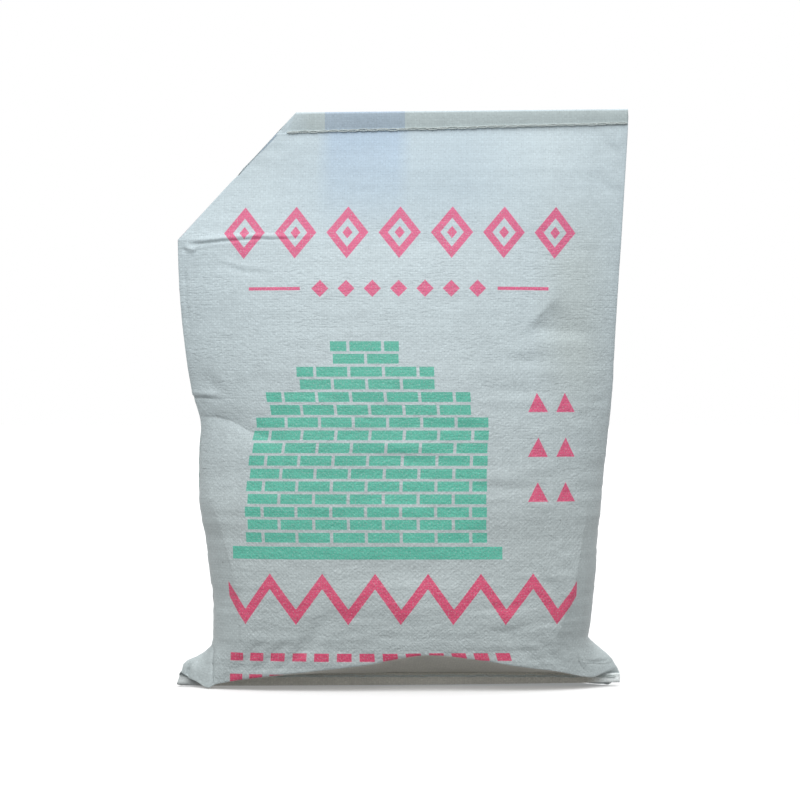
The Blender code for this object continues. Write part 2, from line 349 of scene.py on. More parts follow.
def finer(grid, axis):
    """The grid at twice its detail along one axis, on smooth curves through its points."""
    rows = np.moveaxis(grid, axis, 0)
    wider = np.concatenate([2 * rows[:1] - rows[1:2], rows, 2 * rows[-1:] - rows[-2:-1]])
    doubled = np.empty((2 * len(rows) - 1,) + rows.shape[1:])
    doubled[::2] = rows
    doubled[1::2] = (9 * (rows[:-1] + rows[1:]) - wider[:-3] - wider[3:]) / 16
    return np.moveaxis(doubled, 0, axis)


# The back is plainer and keeps every second column.
front, front_u, front_v = panel(-1, DETAIL)
back, back_u, back_v = (grid[:, ::2] for grid in panel(1, DETAIL))
front_moved, back_moved = let_go(panel(-1, 1)[0], panel(1, 1)[0])
front += finer(finer(front_moved, 0), 1)
back += finer(back_moved, 0)


# The folds that the photograph shows are set on top of the cloth's own. Two of them are
# the edges of the strips that are drawn tight, low down at both sides.
LEFT_TIGHT_EDGE = (
    (-0.193, 0.21, 0),
    (-0.19, 0.188, 0.002),
    (-0.182, 0.171, 0.003),
    (-0.1735, 0.143, 0.003),
    (-0.167, 0.12, 0.0018),
    (-0.164, 0.095, 0),
)
RIGHT_TIGHT_EDGE = (
    (0.15, 0.03, 0),
    (0.151, 0.052, 0.0024),
    (0.1565, 0.074, 0.0042),
    (0.1634, 0.094, 0.0046),
    (0.1693, 0.116, 0.0042),
    (0.1743, 0.14, 0.0032),
    (0.1799, 0.168, 0.0016),
    (0.184, 0.2, 0),
)
TIGHT_WITHIN = 0.0020
TIGHT_ABOVE = (0.030, 0.050)
TIGHT_BELOW = (0.150, 0.200)

# The facet at the right: its corner, the way its edge runs up from there, and how far it reaches.
FACET_CORNER = (0.1256, 0.3596)
FACET_RUN = (0.69, 0.72)
FACET_FOOT_FALL = 0.09
FACET_DEPTH = 0.0060
FACET_SINKS_WITHIN = 0.013
FACET_RISES_WITHIN = 0.045
FACET_FADES = (0.022, 0.044)
FACET_FOOT = (-0.016, 0.0005)
FACET_EDGE = 0.0015
FACET_SHADE_WITHIN = 0.036
FACET_SHADE_FADES = (0.026, 0.060)
FACET_SHADE_FOOT = (-0.0030, 0.0005)

EDGE_ROUND = 0.0008
RIDGE = 0.8
RIDGE_OFF = 2.2
RIDGE_WIDE = 1.6


def beside(grid, line):
    """How far each point lies to the left of this line, and the line's third value there."""
    x, z = grid[..., 0], grid[..., 2]
    nearest = np.full(x.shape, 1.0)
    on_left = np.zeros(x.shape)
    height = np.zeros(x.shape)
    for (ax, az, a_height), (bx, bz, b_height) in zip(line, line[1:]):
        length = math.hypot(bx - ax, bz - az)
        dx, dz = (bx - ax) / length, (bz - az) / length
        along = np.clip(((x - ax) * dx + (z - az) * dz) / length, 0, 1)
        off_x, off_z = x - ax - along * length * dx, z - az - along * length * dz
        distance = np.hypot(off_x, off_z)
        closer = distance < nearest
        nearest = np.where(closer, distance, nearest)
        on_left = np.where(closer, dx * off_z - dz * off_x, on_left)
        height = np.where(closer, a_height + (b_height - a_height) * along, height)
    return np.copysign(nearest, on_left), height


def crease(grid, line, width, ridge):
    """A sharp groove along this line, as deep as its third values say, and a ridge on its left."""
    signed, depth = beside(grid, line)
    groove = np.exp(-((signed / width) ** 2))
    raised = np.exp(-(((signed - RIDGE_OFF * width) / (RIDGE_WIDE * width)) ** 2))
    return depth * (ridge * raised - groove)


def folded_edge(grid, line, left, right):
    """A crisp edge as high as the line's third values say, which fades this far left and right."""
    signed, height = beside(grid, line)
    off = np.hypot(signed, EDGE_ROUND) - EDGE_ROUND
    return height * np.exp(-off / np.where(signed > 0, left, right))


def facet(grid):
    """A dent that drops sharply under an edge running up from its corner, and ends on a level foot.
    Gives how far each point has sunk, and how much shade is painted where it turns from the light."""
    x, z = grid[..., 0] - FACET_CORNER[0], grid[..., 2] - FACET_CORNER[1]
    along = x * FACET_RUN[0] + z * FACET_RUN[1]
    under = np.maximum(0, x * FACET_RUN[1] - z * FACET_RUN[0])
    over_foot = z + FACET_FOOT_FALL * x
    sunk = (1 - np.exp(-under / FACET_SINKS_WITHIN)) * np.exp(-under / FACET_RISES_WITHIN)
    sunk = sunk * eased(over_foot, *FACET_FOOT) * (1 - eased(along, *FACET_FADES))
    turned = eased(under, 0, FACET_EDGE) * np.exp(-under / FACET_SHADE_WITHIN)
    return sunk, turned * eased(over_foot, *FACET_SHADE_FOOT) * (1 - eased(along, *FACET_SHADE_FADES))


RIPPLE_CELLS = 256
RIPPLE_START = (128, 8)


def ripples(grid, wide, high, seed):
    """Smooth random waves of this width and height over the cloth, between -1 and 1."""
    lattice = np.random.default_rng(seed).uniform(-1, 1, (RIPPLE_CELLS, RIPPLE_CELLS))
    place = np.stack([grid[..., 0] / wide, grid[..., 2] / high], axis=-1) + RIPPLE_START
    cell = np.floor(place).astype(int)
    t = place - cell
    t = t * t * (3 - 2 * t)
    i, j = cell[..., 0] % (RIPPLE_CELLS - 1), cell[..., 1] % (RIPPLE_CELLS - 1)
    low = lattice[i, j] * (1 - t[..., 0]) + lattice[i + 1, j] * t[..., 0]
    high_side = lattice[i, j + 1] * (1 - t[..., 0]) + lattice[i + 1, j + 1] * t[..., 0]
    return low * (1 - t[..., 1]) + high_side * t[..., 1]


def outwards(grid, side):
    """The outward direction at each point of a panel."""
    down, along = np.gradient(grid, axis=0), np.gradient(grid, axis=1)
    normal = np.cross(down, along)
    normal /= np.maximum(np.linalg.norm(normal, axis=-1, keepdims=True), 1e-12)
    return normal * np.where(side < 0, 1, -1)


SMALL_WAVES = (
    # height, length across, length down
    (0.00040, 0.045, 0.0075),
    (0.00030, 0.016, 0.0045),
    (0.00110, 0.120, 0.0300),
)
LEAST_WAVES = 0.35
WAVES_WEAKEN = (0.12, 0.40)
STILL_AT_FLOOR = (0.004, 0.020)
STILL_AT_HEM = (0.535, 0.556)


def small_waves(grid, seed):
    """The fine, mostly level crinkles of woven tape, stronger low down, where the sack is full."""
    z = grid[..., 2]
    strength = LEAST_WAVES + (1 - LEAST_WAVES) * (1 - eased(z, *WAVES_WEAKEN))
    strength *= eased(z, *STILL_AT_FLOOR) * (1 - eased(z, *STILL_AT_HEM))
    waves = 0
    for i, (height, *lengths) in enumerate(SMALL_WAVES):
        waves = waves + height * ripples(grid, *lengths, seed + i)
    return waves * strength


# Each fold's kind, its width or its reach to the left, its ridge or its reach to the right, and then
# x, z and depth or height from one end to the other.
FRONT_FOLDS = (
    # the crease of the tucked corner, the knob at its left end and the puckers around both
    (crease, 0.0014, RIDGE, (-0.214, 0.4415, 0), (-0.203, 0.442, 0.0012), (-0.18, 0.4442, 0.0014),
     (-0.144, 0.4462, 0.0014), (-0.127, 0.4455, 0.001), (-0.105, 0.446, 0.0005), (-0.08, 0.445, 0)),
    (crease, 0.0026, 0, (-0.2145, 0.4365, -0.0014), (-0.209, 0.4358, -0.0016)),
    (crease, 0.002, RIDGE, (-0.221, 0.437, 0), (-0.2175, 0.4355, 0.001), (-0.214, 0.4325, 0)),
    (crease, 0.002, RIDGE, (-0.209, 0.4335, 0), (-0.2065, 0.434, 0.0009), (-0.203, 0.4375, 0)),
    (crease, 0.002, RIDGE, (-0.19, 0.424, 0), (-0.16, 0.414, 0.001), (-0.12, 0.411, 0)),
    # down the left side: its long fold, the shaded slope, the kink and the edge above it
    (crease, 0.002, RIDGE, (-0.2185, 0.428, 0), (-0.218, 0.41, 0.0007), (-0.2165, 0.38, 0.0006),
     (-0.212, 0.34, 0)),
    (crease, 0.006, 0.4, (-0.206, 0.316, 0), (-0.19, 0.302, 0.0014), (-0.172, 0.288, 0)),
    (folded_edge, 0.015, 0.008, (-0.204, 0.27, -0.0014), (-0.19, 0.269, -0.0034),
     (-0.171, 0.265, -0.0038), (-0.152, 0.256, -0.0034), (-0.127, 0.247, -0.0024), (-0.103, 0.24, 0)),
    (crease, 0.0018, RIDGE, (-0.213, 0.2885, 0.001), (-0.195, 0.288, 0.0016), (-0.176, 0.286, 0)),
    # the edges of the cloth that is drawn tight, and the streak and crinkles beside the right one
    (folded_edge, 0.024, 0.022, *LEFT_TIGHT_EDGE),
    (folded_edge, 0.026, 0.022, *RIGHT_TIGHT_EDGE),
    (folded_edge, 0.004, 0.006, (0.112, 0.186, 0), (0.125, 0.185, 0.0012), (0.14, 0.182, 0.0014),
     (0.149, 0.178, 0)),
    (folded_edge, 0.003, 0.004, (0.149, 0.149, 0), (0.155, 0.145, 0.0012), (0.161, 0.148, 0)),
    (folded_edge, 0.003, 0.004, (0.15, 0.134, 0), (0.158, 0.13, 0.0013), (0.168, 0.134, 0)),
    (folded_edge, 0.003, 0.004, (0.146, 0.12, 0), (0.156, 0.112, 0.001), (0.163, 0.118, 0)),
    # the curve and the line in the right ear, and the fold and the curl in the left one
    (crease, 0.0014, RIDGE, (0.173, 0.036, 0), (0.1738, 0.03, 0.0008), (0.177, 0.023, 0.001),
     (0.1815, 0.018, 0)),
    (crease, 0.0013, RIDGE, (0.179, 0.0265, 0), (0.19, 0.0255, 0.0009), (0.2, 0.0255, 0.0006),
     (0.209, 0.027, 0)),
    (crease, 0.0014, 0.2, (-0.1895, 0.003, 0), (-0.1885, 0.012, 0.0014), (-0.188, 0.034, 0.0014),
     (-0.188, 0.046, 0)),
    (crease, 0.0018, RIDGE, (-0.211, 0.028, 0), (-0.213, 0.02, 0.0022), (-0.215, 0.012, 0.0018),
     (-0.216, 0.008, 0)),
    # light ripples over the belly, and the puckers at the upper right
    (crease, 0.005, RIDGE, (-0.01, 0.262, 0), (0.06, 0.259, 0.0008), (0.105, 0.262, 0)),
    (crease, 0.005, RIDGE, (0.055, 0.203, 0), (0.1, 0.198, 0.001), (0.15, 0.204, 0)),
    (crease, 0.005, RIDGE, (-0.06, 0.236, 0), (0, 0.229, 0.001), (0.07, 0.224, 0)),
    (crease, 0.005, RIDGE, (0.03, 0.101, 0), (0.075, 0.055, 0), (0.11, 0.06, 0.001), (0.15, 0.072, 0)),
    (crease, 0.005, RIDGE, (0.12, 0.128, 0), (0.15, 0.098, 0.0012), (0.158, 0.07, 0)),
    (crease, 0.005, RIDGE, (0.085, 0.33, 0), (0.12, 0.325, 0.0009), (0.155, 0.33, 0)),
    (crease, 0.005, RIDGE, (0.06, 0.3, 0), (0.11, 0.296, 0.0007), (0.17, 0.302, 0)),
    (crease, 0.005, RIDGE, (0.196, 0.548, 0), (0.21, 0.536, 0.001), (0.219, 0.532, 0)),
    (crease, 0.005, RIDGE, (0.192, 0.515, 0), (0.205, 0.498, 0.0009), (0.214, 0.488, 0)),
)

# The back isn't in the photograph, so its folds are guessed, in the manner of the front's.
BACK_FOLDS = (
    (crease, 0.0022, RIDGE, (-0.214, 0.4425, 0), (-0.19, 0.444, 0.0013), (-0.15, 0.4455, 0.0011),
     (-0.11, 0.445, 0)),
    (crease, 0.0022, RIDGE, (-0.221, 0.43, 0), (-0.205, 0.424, 0.0012), (-0.18, 0.418, 0)),
    (crease, 0.0022, RIDGE, (0.218, 0.515, 0), (0.2, 0.502, 0.001), (0.186, 0.498, 0)),
    (folded_edge, 0.015, 0.01, (-0.204, 0.27, -0.0014), (-0.185, 0.2695, -0.0034),
     (-0.16, 0.264, -0.0026), (-0.125, 0.26, 0)),
    (folded_edge, 0.015, 0.01, (0.12, 0.284, 0), (0.15, 0.28, -0.0018), (0.18, 0.285, -0.0026),
     (0.207, 0.3, 0)),
    (folded_edge, 0.015, 0.01, (-0.19, 0.176, 0), (-0.176, 0.15, 0.0026), (-0.166, 0.118, 0.0024),
     (-0.162, 0.09, 0)),
    (crease, 0.0055, RIDGE, (-0.06, 0.21, 0), (0.01, 0.2, 0.0012), (0.08, 0.206, 0)),
    (crease, 0.0055, RIDGE, (0.02, 0.334, 0), (0.09, 0.322, 0.0012), (0.15, 0.328, 0)),
    (crease, 0.0055, RIDGE, (-0.12, 0.152, 0), (-0.05, 0.14, 0.0013), (0.01, 0.146, 0)),
    (crease, 0.0055, RIDGE, (0.03, 0.095, 0), (0.09, 0.085, 0.0014), (0.15, 0.096, 0)),
    (crease, 0.0055, RIDGE, (-0.15, 0.348, 0), (-0.1, 0.34, 0.001), (-0.05, 0.346, 0)),
)
BACK_WAVES = 1.4


def all_folds(grid, folds):
    """How far these folds together push each point outwards."""
    return sum(fold(grid, line, first, second) for fold, first, second, *line in folds)


sunk, turned = facet(front)
push = all_folds(front, FRONT_FOLDS) - FACET_DEPTH * sunk + small_waves(front, seed=11)
beyond = np.maximum(-beside(front, LEFT_TIGHT_EDGE)[0], -beside(front, RIGHT_TIGHT_EDGE)[0])
low_sides = eased(front[..., 2], *TIGHT_ABOVE) * (1 - eased(front[..., 2], *TIGHT_BELOW))
taut = eased(beyond, 0, TIGHT_WITHIN) * low_sides
front += push[..., None] * outwards(front, -1)
push = all_folds(back, BACK_FOLDS) + BACK_WAVES * small_waves(back, seed=21)
back += push[..., None] * outwards(back, 1)
back[..., 2] = np.maximum(back[..., 2], FLOOR_CLEARANCE)
front[..., 2] = np.maximum(front[..., 2], FLOOR_CLEARANCE)


# At the top both layers are folded to the front and sewn through, so the band above the stitches
# is the back panel's outside. The corner that makes the valve was tucked in first, and its mouth is
# the slit in the upper part of the slanted edge. The bottom hem is folded to the front as well.
TOP_LEFT = 0.5735
TOP_RIGHT = 0.5770
HEM_LEFT = 0.5530
HEM_RIGHT = 0.5620
TOP_BEND = 0.5000
MOUTH_DEPTH = 0.012
MOUTH_FROM = 0.507
MOUTH_EASE = 0.008
MOUTH_TOP_EASE = 0.0035
LIP_PARTED = 0.0003
BACK_LIP_PROUD = 0.0012
SIDE_FOLD = 0.0005
TOP_HEM = (
    # share of the way up the band, above that, outwards
    (0.00, -0.0008, 0.0014),
    (0.00, -0.0009, 0.0017),
    (0.00, -0.0004, 0.0019),
    (0.00, 0.0010, 0.0018),
    (0.00, 0.0022, 0.0016),
    (0.00, 0.0040, 0.0019),
    (0.40, 0.0030, 0.0021),
    (0.65, 0.0015, 0.0021),
    (0.85, 0.0006, 0.0020),
    (1.00, -0.0008, 0.0018),
    (1.00, 0.0000, 0.0011),
    (1.00, 0.0001, 0.0002),
)
BOTTOM_HEM = (
    # height, outwards
    (0.0136, 0.0028),
    (0.0138, 0.0040),
    (0.0124, 0.0046),
    (0.0106, 0.0040),
    (0.0080, 0.0042),
    (0.0045, 0.0041),
    (0.0016, 0.0040),
    (0.0006, 0.0030),
)
FOOT_WAVES = 0.0003
FOOT_V = -0.1
STITCH_LENGTH = 0.010
STITCH_DRIFT = 2
DRIFT_LENGTH = 0.05
HEM_PUCKER = 0.00016
HEM_PUCKER_REACH = 0.006
BACK_HEM_PRESSED = 0.00030
BACK_HEM_PUCKER = 0.00015
BACK_HEM_REACH = 0.005
BACK_TOP_DROP = 0.0006
BAND_LEFT_INSET = 0.0004
BAND_RIGHT_INSET = 0.0003
BAND_WAVES = 0.00025
BAND_PUCKER = 0.00012
HEM_END_THIN = 0.50
HEM_END_TOP = -0.1075
HEM_END_FOOT = -0.1140
HEM_END_STEP = 0.0009
SCALLOP = 0.0004
TIP_SHARE = 0.06
TIP_REACH = 0.0025
TIP_CURL = 0.0040
TIP_DROP = 0.45
TIP_LIFT = 0.0022
LIT_ENDS = (0.84, 0.94)

# On the cloth's map the back lies this far to the right of the front.
BACK_U = 1

shares = panel_shares(DETAIL)
hem_line = HEM_LEFT + (HEM_RIGHT - HEM_LEFT) * shares
top_line = TOP_LEFT + (TOP_RIGHT - TOP_LEFT) * shares

level = level_heights(DETAIL)
hem_rows = np.nonzero(level > TOP_BEND)[0]
before_hem, u_before, v_before = front[:len(level)].copy(), front_u.copy(), front_v.copy()
share_up = (level[hem_rows] - TOP_BEND) / (HEIGHT - TOP_BEND)
for column in range(front.shape[1]):
    new_level = TOP_BEND + (hem_line[column] - TOP_BEND) * share_up
    row = np.interp(-new_level, -level, np.arange(len(level)))
    lower = np.minimum(row.astype(int), len(level) - 2)
    t = row - lower
    for grid, before in ((front, before_hem), (front_u, u_before), (front_v, v_before)):
        part = t[:, None] if grid.ndim > 2 else t
        grid[hem_rows, column] = before[lower, column] * (1 - part) + before[lower + 1, column] * part


def stitch_pull(x, grid, seed):
    """1 where a stitch pulls the hem in and -1 between two of them, at these places along it."""
    drift = STITCH_DRIFT * ripples(grid, DRIFT_LENGTH, DRIFT_LENGTH, seed)
    return np.cos(2 * math.pi * x / STITCH_LENGTH + drift)


band_line = front[0].copy()
near_hem = np.exp(-np.maximum(0, hem_line - front[..., 2]) / HEM_PUCKER_REACH)
front[..., 1] += HEM_PUCKER * stitch_pull(front[..., 0], front, seed=31) * near_hem

back_shares = shares[::2]
drop = HEIGHT - (TOP_LEFT + (TOP_RIGHT - TOP_LEFT) * back_shares)
back[..., 2] -= (drop + BACK_TOP_DROP) * eased(back[..., 2], TOP_BEND, HEIGHT)
pressed_in = BACK_HEM_PRESSED + BACK_HEM_PUCKER * stitch_pull(back[..., 0], back, seed=32)
near_hem = np.exp(-np.abs(hem_line[::2] - back[..., 2]) / BACK_HEM_REACH)
back[..., 1] -= pressed_in * near_hem * (back[..., 2] > TOP_BEND)

band, band_uv = [], []
for share_up, above, out in TOP_HEM:
    z = hem_line + (top_line - hem_line) * share_up + above
    left = valve_line(z) + BAND_LEFT_INSET
    x = left + (FLAT_HALF_WIDTH - BAND_RIGHT_INSET - left) * shares
    hem_end = HEM_END_TOP + (HEM_END_FOOT - HEM_END_TOP) * (top_line - z) / (top_line - hem_line)
    single_layer = 1 - eased(x, hem_end - HEM_END_STEP, hem_end)
    scallop = stitch_pull(x, band_line, seed=31)
    z = z - SCALLOP * scallop * (share_up == 0)
    row = np.stack([x, -out * (1 - HEM_END_THIN * single_layer * (share_up < 1)), z], axis=-1)
    row[:, 1] += BAND_WAVES * ripples(row, wide=0.020, high=0.010, seed=41) + BAND_PUCKER * scallop
    band.append(row)
    band_uv.append(np.stack([x + BACK_U, HEIGHT + (top_line - z) * (1 - 2 * single_layer)], axis=-1))
band, band_uv = np.array(band), np.array(band_uv)

foot, foot_uv = [], []
tip = 1 - eased(shares, 0, TIP_SHARE)
foot_x = SEAM_LEFT + (SEAM_RIGHT - SEAM_LEFT) * shares
for height, out in BOTTOM_HEM:
    low = 1 - height / SEAM_HEIGHT
    row = np.stack([
        foot_x - TIP_REACH * tip * low,
        -out - TIP_CURL * tip * low,
        height * (1 - TIP_DROP * tip) + TIP_LIFT * tip + RIGHT_LIFT * shares**2 * low,
    ], axis=-1)
    row[:, 1] += FOOT_WAVES * ripples(row, wide=0.015, high=0.010, seed=51)
    foot.append(row)
    foot_uv.append(np.stack([front_u[-1], np.full_like(foot_x, height + FOOT_V)], axis=-1))
foot, foot_uv = np.array(foot), np.array(foot_uv)

# The mouth of the valve is a slit a little way into the slanted edge, and the other side is a fold.
left_middle = (front[:, 0] + back[:, 0]) / 2
slanted = eased(left_middle[:, 2], MOUTH_FROM, MOUTH_FROM + MOUTH_EASE)
slanted *= 1 - eased(front[:, 0, 2], HEM_LEFT - MOUTH_TOP_EASE, HEM_LEFT)
slant = Vector((VALVE_CUT_ALONG_TOP, 0, HEIGHT - VALVE_CORNER)).normalized()
inwards = np.array([slant.z, 0, -slant.x])
left_middle += inwards * (slanted * (MOUTH_DEPTH + SIDE_FOLD) - SIDE_FOLD)[:, None]
right_middle = (front[:, -1] + back[:, -1]) / 2 + [SIDE_FOLD, 0, 0]
lip_waves = ripples(front[:, 0], wide=0.03, high=0.03, seed=61)
front[:, 0, 1] -= LIP_PARTED * (1 + lip_waves) * slanted
back[:, 0] -= inwards * (BACK_LIP_PROUD * slanted)[:, None]


def numbered(grid, start):
    """The numbers of this grid's points in the whole mesh, from this start."""
    return start + np.arange(grid.shape[0] * grid.shape[1]).reshape(grid.shape[:2])


blocks = [front, back, band, foot, left_middle[:, None], right_middle[:, None]]
starts = np.cumsum([0] + [block.shape[0] * block.shape[1] for block in blocks])
n_front, n_back, n_band, n_foot, n_left, n_right = (numbered(b, s) for b, s in zip(blocks, starts))
points = np.concatenate([block.reshape(-1, 3) for block in blocks])


def new_piece(name, points, faces):
    """A visible object with this name, its faces turned outwards."""
    mesh = bpy.data.meshes.new(name)
    mesh.from_pydata(points.tolist(), [], faces)
    shell = bmesh.new()
    shell.from_mesh(mesh)
    bmesh.ops.recalc_face_normals(shell, faces=shell.faces)
    shell.to_mesh(mesh)
    shell.free()
    mesh.shade_smooth()
    piece = bpy.data.objects.new(name, mesh)
    bpy.context.scene.collection.objects.link(piece)
    return piece


def widening(fine, coarse):
    """Five-sided faces between a row of points and one with half as many."""
    return np.stack([fine[:-2:2], fine[1:-1:2], fine[2::2], coarse[1:], coarse[:-1]], axis=1).tolist()


faces = grid_faces(n_front) + grid_faces(n_back[:, ::-1])
faces += grid_faces(np.concatenate([n_band[::-1], n_front[:1]]))
faces += widening(n_band[-1][::-1], n_back[0][::-1])
faces += grid_faces(np.concatenate([n_front[-1:], n_foot]))
faces += widening(n_foot[-1], n_back[-1])
faces += grid_faces(np.concatenate([n_back[:, :1], n_left, n_front[:, :1]], axis=1))
faces += grid_faces(np.concatenate([n_front[:, -1:], n_right, n_back[:, -1:]], axis=1))
faces.append([n_back[0, 0], n_left[0, 0], n_front[0, 0]] + n_band[:, 0].tolist())
faces.append([n_front[0, -1], n_right[0, 0], n_back[0, -1]] + n_band[::-1, -1].tolist())
faces.append([n_front[-1, 0], n_left[-1, 0], n_back[-1, 0]] + n_foot[::-1, 0].tolist())
faces.append([n_back[-1, -1], n_right[-1, 0], n_front[-1, -1]] + n_foot[:, -1].tolist())
faces = [[int(i) for i in face] for face in faces]

cloth_uv = np.concatenate([
    np.stack([front_u, front_v], axis=-1).reshape(-1, 2),
    np.stack([back_u + BACK_U, back_v], axis=-1).reshape(-1, 2),
    band_uv.reshape(-1, 2),
    foot_uv.reshape(-1, 2),
    np.stack([back_u[:, 0] + BACK_U, back_v[:, 0]], axis=-1),
    np.stack([back_u[:, -1] + BACK_U, back_v[:, -1]], axis=-1),
])
turned_row = DETAIL * (LEVEL_ROWS + TURN_ROWS[0]) + TURN_ROWS[1]
hidden = 1 - eased(np.abs(2 * shares - 1), *LIT_ENDS)
shown = {name: np.zeros(len(points)) for name in ("underside_painted_bounce", "drawn_tight_and_shaded", "facet_painted_shade")}
past_turn = eased(np.arange(len(front)), turned_row - 1, turned_row + 1)
# Painted bounce light under the front's drape and on the bottom hem.
shown["underside_painted_bounce"][n_front] = past_turn[:, None] * hidden
shown["underside_painted_bounce"][n_foot] = hidden
# The strips drawn tight get smoother crinkles and painted shade.
shown["drawn_tight_and_shaded"][n_front] = taut
# Painted shade where the facet turns from the light.
shown["facet_painted_shade"][n_front] = turned
woven_sack = new_piece("woven_sack", points, faces)
mesh = woven_sack.data
for name, values in shown.items():
    mesh.attributes.new(name, "FLOAT", "POINT").data.foreach_set("value", values.astype(np.float32))
uv = mesh.uv_layers.new(name="cloth")
corner_points = np.zeros(len(mesh.loops), np.int32)
mesh.loops.foreach_get("vertex_index", corner_points)
uv.data.foreach_set("uv", cloth_uv[corner_points].astype(np.float32).ravel())

# The cloth is plain-woven from flat tapes 2.5 mm wide, pale blue-grey, with a broad blue stripe
# woven down the back that shows faintly through where the sack is empty. It is printed in one
# pass of red and one of green ink, which sit on the tapes and miss the hollows between them.
TAPE = 0.0025
# The cloth is darker low down where it is full: partly its own tone, partly painted shade.
CLOTH_EMPTY = (0.575, 0.680, 0.725)
CLOTH_FULL_AND_SHADED = (0.440, 0.500, 0.508)
STRIPE_LEFT = -0.078
STRIPE_RIGHT = 0.002
STRIPE_SHADE = (0.79, 0.84, 0.97)
SHOWING_THROUGH = (0.88, 0.93, 1.03)
SINGLE_LAYER = (0.850, 0.875, 0.905)
FOLDED_SHADE = (0.86, 0.85, 0.81)
# Painted shade on the right of the front, where it turns from the light.
PAINTED_LEE_SHADE = (0.945, 0.930, 0.895)
# Painted bounce light: a warm, lighter colour under the front's drape and on the bottom hem.
UNDERSIDE_PAINTED_BOUNCE = (0.640, 0.625, 0.560)
# The bottom hem's ends: the right one is painted lighter against the shade of the drape over it.
HEM_END_LEFT = (0.420, 0.455, 0.455)
HEM_END_RIGHT_PAINTED_LIGHT = (0.860, 0.920, 0.920)
RED_HIGH = (0.720, 0.110, 0.250)
RED_LOW = (0.620, 0.050, 0.140)
GREEN = (0.085, 0.450, 0.335)
INK_STEP = 0.0008
INK_PULL = 0.6
INK_COVERS = 0.74
SHADE_BASE = 0.69
WARP_START = 400.5
WEFT_START = 40
WEFT_SEED = 7
CRINKLE_LEAN = 0.45
CRINKLES_FULL = 1.6
CRINKLES_EMPTY = 0.25
TIGHT_SMOOTHS = 0.75
CALM_SMOOTHS = 0.45
DIRT_SHADE = 0.40
DIRT_SOFT = 0.0006
# x, z and radius of each speck of dirt
DIRT = ((-0.1784, 0.1254, 0.0010), (0.1537, 0.1683, 0.0008))
PRESSED = (
    # x, z and depth along each thin crease, and its half width
    (((-0.1878, 0.0415, 0.6), (-0.1880, 0.0240, 1.0), (-0.1888, 0.0060, 0.9)), 0.0013),
    (((-0.2120, 0.0250, 0.2), (-0.2140, 0.0180, 0.9), (-0.2160, 0.0110, 0.4)), 0.0016),
    (((0.1735, 0.034, 0.2), (0.1748, 0.0275, 1.0), (0.179, 0.0205, 0.8), (0.183, 0.0165, 0.1)), 0.0012),
    (((0.1800, 0.0262, -0.9), (0.1890, 0.0258, -0.7), (0.2070, 0.0255, -0.1)), 0.0013),
    (((0.1850, 0.0240, 0.2), (0.1960, 0.0238, 0.7), (0.2080, 0.0240, 0.1)), 0.0013),
    (((-0.2080, 0.2880, 0.9), (-0.1960, 0.2876, 0.8), (-0.1860, 0.2870, 0.1)), 0.0014),
    (((-0.1990, 0.2177, 0.8), (-0.1930, 0.2172, 0.1)), 0.0012),
    (((-0.2000, 0.2693, 0.5), (-0.1850, 0.2686, 0.7), (-0.1700, 0.2645, 0.3)), 0.0020),
    (((-0.1700, 0.2645, 0.3), (-0.1520, 0.2560, 0.5), (-0.1300, 0.2480, 0.1)), 0.0018),
    (((0.1268, 0.3598, 0.4), (0.1362, 0.3698, 0.3), (0.1470, 0.3806, 0.0)), 0.0022),
)


class Value:
    """A number that a material works out at every point, put together with plain arithmetic."""

    def __init__(self, tree, socket):
        self.tree = tree
        self.socket = socket

    def math(self, operation, *values, clamped=False):
        node = self.tree.nodes.new("ShaderNodeMath")
        node.operation = operation
        node.use_clamp = clamped
        for place, value in zip(node.inputs, values):
            if isinstance(value, Value):
                self.tree.links.new(value.socket, place)
            else:
                place.default_value = value
        return Value(self.tree, node.outputs[0])

    def __add__(self, other):
        return self.math("ADD", self, other)

    def __sub__(self, other):
        return self.math("SUBTRACT", self, other)

    def __rsub__(self, other):
        return self.math("SUBTRACT", other, self)

    def __mul__(self, other):
        return self.math("MULTIPLY", self, other)

    def __truediv__(self, other):
        return self.math("DIVIDE", self, other)

    __radd__ = __add__
    __rmul__ = __mul__

    def whole(self):
        return self.math("FLOOR", self)

    def part(self):
        return self.math("FRACT", self)

    def size(self):
        return self.math("ABSOLUTE", self)

    def odd(self):
        return (self * 0.5).part() * 2

    def cosine(self):
        return self.math("COSINE", self)

    def root(self):
        return self.math("SQRT", self)

    def least(self, other):
        return self.math("MINIMUM", self, other)

    def most(self, other):
        return self.math("MAXIMUM", self, other)

    def below(self, edge, soft=0.0003):
        """1 where the number is under this edge and 0 over it, with this soft a step."""
        return self.math("DIVIDE", edge + soft / 2 - self, soft, clamped=True)

    def within(self, low, high, soft=0.0003):
        """1 where the number lies between these two and 0 elsewhere, with this soft a step."""
        return self.below(high, soft) * (1 - self.below(low, soft))


def set_inputs(node, values):
    """Sets a node's inputs to these values, by their names."""
    for name, value in values.items():
        node.inputs[name].default_value = value


def pattern_noise(tree, place, scale=None, detail=0):
    """A smooth noise read at this place, which is a list of Values. Without a scale it is another
    random number for each place."""
    combine = tree.nodes.new("ShaderNodeCombineXYZ")
    for socket, value in zip(combine.inputs, place):
        tree.links.new(value.socket, socket)
    if scale is None:
        node = tree.nodes.new("ShaderNodeTexWhiteNoise")
        node.noise_dimensions = "2D"
    else:
        node = tree.nodes.new("ShaderNodeTexNoise")
        set_inputs(node, {"Scale": scale, "Detail": detail})
    tree.links.new(combine.outputs[0], node.inputs["Vector"])
    return Value(tree, node.outputs[0])


def point_value(tree, name):
    """The mesh's own value of this name at each point."""
    node = tree.nodes.new("ShaderNodeAttribute")
    node.attribute_name = name
    return Value(tree, node.outputs["Fac"])


